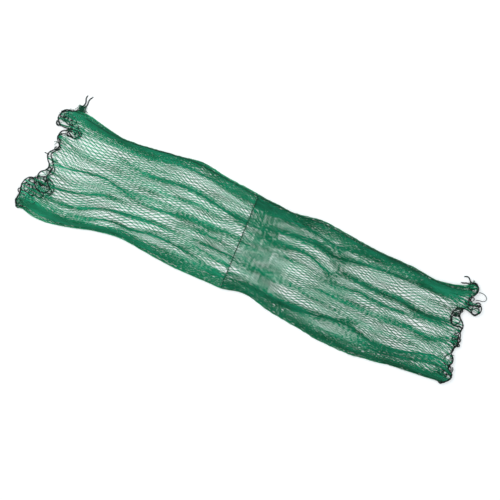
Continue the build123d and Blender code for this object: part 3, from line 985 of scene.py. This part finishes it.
def build_loose_end(side, name, route):
    """One frayed end of a mouth cord, past its knot."""
    body = f"{side}_half"
    line = nurbs_line(f"{side}_{name}_route", route)
    rope = laid_arrays(line, CORD_END_D)
    frayed = frayed_arrays(line[-1], unit(line[-1] - line[-3]), CORD_END_D, fibres=9, reach=6 * MM)
    wound = stitches_arrays(line[: int(len(line) * 0.95)], 2.6 * MM, 2.0 * MM, 0.7 * MM)
    piece = made(f"{side}_cord_{name}", rope, CORD, f"{side}_{name}", body)
    fray = join_arrays([frayed, wound])
    tuft = made(f"{side}_cord_{name}_fray", fray, CORD, body=body)


def build_half(side):
    """Netting, mouth cord, knots, lacing and loose ends of one half. The cord, knots and loose ends ride on
    the half's body; the netting and lacing do so on the right half only.
    """
    body = f"{side}_half"
    route = mouth_route(side)
    cord_line = nurbs_line(f"{side}_mouth_route", route)
    last, corner = (np.array(place) for place in route[len(UPPER_RUN[side]):][:2])
    knots, bunches = knots_of_half(side, cord_line, corner * MM)
    build_netting(side, knots)

    # mouth cord and its slack loops
    loops = [nurbs_line(f"{side}_loop_route", loop) for loop in LOOPS[side]]
    loops += [curl_line(*curl) for curl in CURLS[side]]
    rope = bound_arrays([cord_line])
    made(f"{side}_mouth_rope", rope, CORD, f"{side}_mouth_cord", body)
    made(f"{side}_mouth_slack", bound_arrays(loops), CORD, body=body)

    # hitches of netting twine that hold the last knots to the cord
    hitches = []
    fine = evenly(cord_line, 1.0 * MM)
    for bunch in bunches[::2]:
        n = int(np.clip(nearest(fine, bunch), 1, len(fine) - 2))
        hitches.append(whipping_arrays(
            fine[n], fine[n + 1] - fine[n - 1], radius=1.9 * MM, twine_r=TWINE_R, turns=2, length=1.8 * MM,
        ))
    made(f"{side}_mouth_hitches", join_arrays(hitches), CORD, body=body)

    # slack meshes bunched up among the loops
    snarls = join_arrays([snarl_arrays(*place) for place in SNARLS[side]])
    made(f"{side}_mouth_gathers", snarls, SNARLED, body=body)

    # knot in the back corner, and the lashing in the front corner
    knot = knot_arrays(np.array(CORNER_KNOT[side]) * MM, radius=3.1 * MM, cord_r=1.5 * MM, tilt=0.6)
    made(f"{side}_corner_knot", knot, CORD, f"{side}_mouth_knot", body)
    middle = fine[nearest(fine, (last + corner) / 2 * MM)]
    lashing = whipping_arrays(
        middle, corner - last, radius=2.3 * MM, twine_r=0.75 * MM, turns=7, length=7.5 * MM,
    )
    made(f"{side}_corner_whipping", lashing, CORD, f"{side}_corner_lashing", body)

    # lacing along the back edge, with its stitches
    edge = [(x, y - 5, LACING_Z) for x, y, _ in BACK_EDGE[side]]
    edge[0] = (WAY[side] * 4, *edge[0][1:])
    edge[-1] = (edge[-1][0] - WAY[side] * 8, edge[-1][1] - 5, LACING_Z)
    lace_line = evenly(nurbs_line(f"{side}_lacing_route", edge), 2 * MM)
    lace_line[1:-1, 1] += blurred(draw.standard_normal(len(lace_line) - 2), 4, 0) * 1.6 * MM
    lace = join_arrays([laid_arrays(lace_line, SIDE_CORD_D), stitches_arrays(lace_line, 8.5 * MM, 1.6 * MM)])
    carried(made(f"{side}_edge_lacing", lace, LACING, f"{side}_side_lacing"), side)

    build_loose_end(side, "long_end", LONG_END[side])
    build_loose_end(side, "short_end", SHORT_END[side])


build_half("left")
build_half("right")

# ---------------- pieces of one mouth only, and the seam

# cut end of the join in the left mouth cord
STUB_ROUTE = [(-697, 1, 12.0), (-702, 0.4, 12.3), (-707, 1.6, 11.8), (-713, 1, 11.9)]  # mm
stub_line = nurbs_line("splice_route", STUB_ROUTE)
whipped_at = stub_line[0] + np.array([-2, 0, 0]) * MM
stub_parts = [
    laid_arrays(stub_line, STUB_D, steps=8),
    whipping_arrays(whipped_at, (1, 0, 0), radius=1.9 * MM, twine_r=0.6 * MM, turns=4, length=4 * MM),
    knot_arrays((-0.7105, 0.001, 0.0119), radius=1.5 * MM, cord_r=0.85 * MM, tilt=0.3),
]
made("left_splice", join_arrays(stub_parts), CORD, "left_splice_stub", "left_half")

# loop of thin tying twine at the right mouth
loop_line = nurbs_line("tie_route", TIE_LOOP)
tie = laid_arrays(loop_line, 1.4 * TIE_TWINE_D, strands=2)
loop = made("right_tying_twine", tie, TYING, "right_tie_loop", "right_half")

# lacing seam round the middle: over the sleeve and back under it, in mm
SEAM_ROUTE = [
    (0, 0, 2.6), (0.3, 70, 2.6), (0, 140, 2.6), (0, 158, 2.8), (0, 161.2, 5.0), (0, 161.2, 8.6),
    (0, 157, 11.0), (0.2, 146, 11.0), (-0.3, 110, 10.4), (0.3, 60, 10.2), (0, 20, 10.4), (-0.4, -30, 10.2),
    (0.2, -80, 10.3), (-0.2, -130, 10.4), (0, -150, 11.0), (0, -161, 11.0), (0, -165.2, 8.6),
    (0, -165.2, 5.0), (0, -162, 2.8), (0, -144, 2.6), (-0.3, -70, 2.6), (0, -1, 2.6),
]
seam_line = nurbs_line("seam_route", [(x + seam_x(y), y, z) for x, y, z in SEAM_ROUTE])
seam_parts = [laid_arrays(seam_line, SEAM_CORD_D), stitches_arrays(seam_line, 5.5 * MM, 1.6 * MM)]
made("seam_lacing_cord", join_arrays(seam_parts), LACING, "seam_lacing", "right_half")


# ---------------- floor, light and camera

floor_mesh = bpy.data.meshes.new("floor")
floor_mesh.from_pydata([(-8, -8, 0), (8, -8, 0), (8, 8, 0), (-8, 8, 0)], [], [(0, 1, 2, 3)])
floor_material, floor_shader, _, _ = new_material("floor")
fill(floor_shader, {
    "Base Color": (0.86, 0.86, 0.86, 1), "Emission Color": (1, 1, 1, 1), "Emission Strength": 0.2,
    "Roughness": 0.9,
})
floor_mesh.materials.append(floor_material)
linked("floor", floor_mesh)

world = bpy.data.worlds.new("studio")
world.use_nodes = True
fill(world.node_tree.nodes["Background"], {"Color": (0.90, 0.97, 1, 1), "Strength": 0.74})
bpy.context.scene.world = world

for name, place, size, power in (
    ("key_light", (-1.5, 0.5, 2.3), 1.8, 27),
    ("fill_light", (1.2, -0.3, 2.6), 2.4, 15),
):
    lamp = bpy.data.lights.new(name, "AREA")
    lamp.shape = "DISK"
    lamp.size = size
    lamp.energy = power
    light = linked(name, lamp)
    light.location = place
    aim = (place[0] * -0.85, -place[1], -place[2])
    light.rotation_mode = "QUATERNION"
    light.rotation_quaternion = mathutils.Vector(aim).to_track_quat("-Z", "Y")

LENS, SENSOR = 85, 36  # focal length and sensor width, in mm
VIEW_WIDTH = 1.665  # metres across the picture, at the height of the mouth knots
VIEW_CENTRE = (0.043, -0.014)
lens = bpy.data.cameras.new("camera")
lens.lens = LENS
lens.sensor_width = SENSOR
camera = linked("camera", lens)
camera.location = (*VIEW_CENTRE, VIEW_WIDTH * LENS / SENSOR + 0.006)
camera.rotation_euler = (0, 0, math.radians(24.3))
bpy.context.scene.camera = camera
bpy.context.scene.view_settings.view_transform = "Standard"
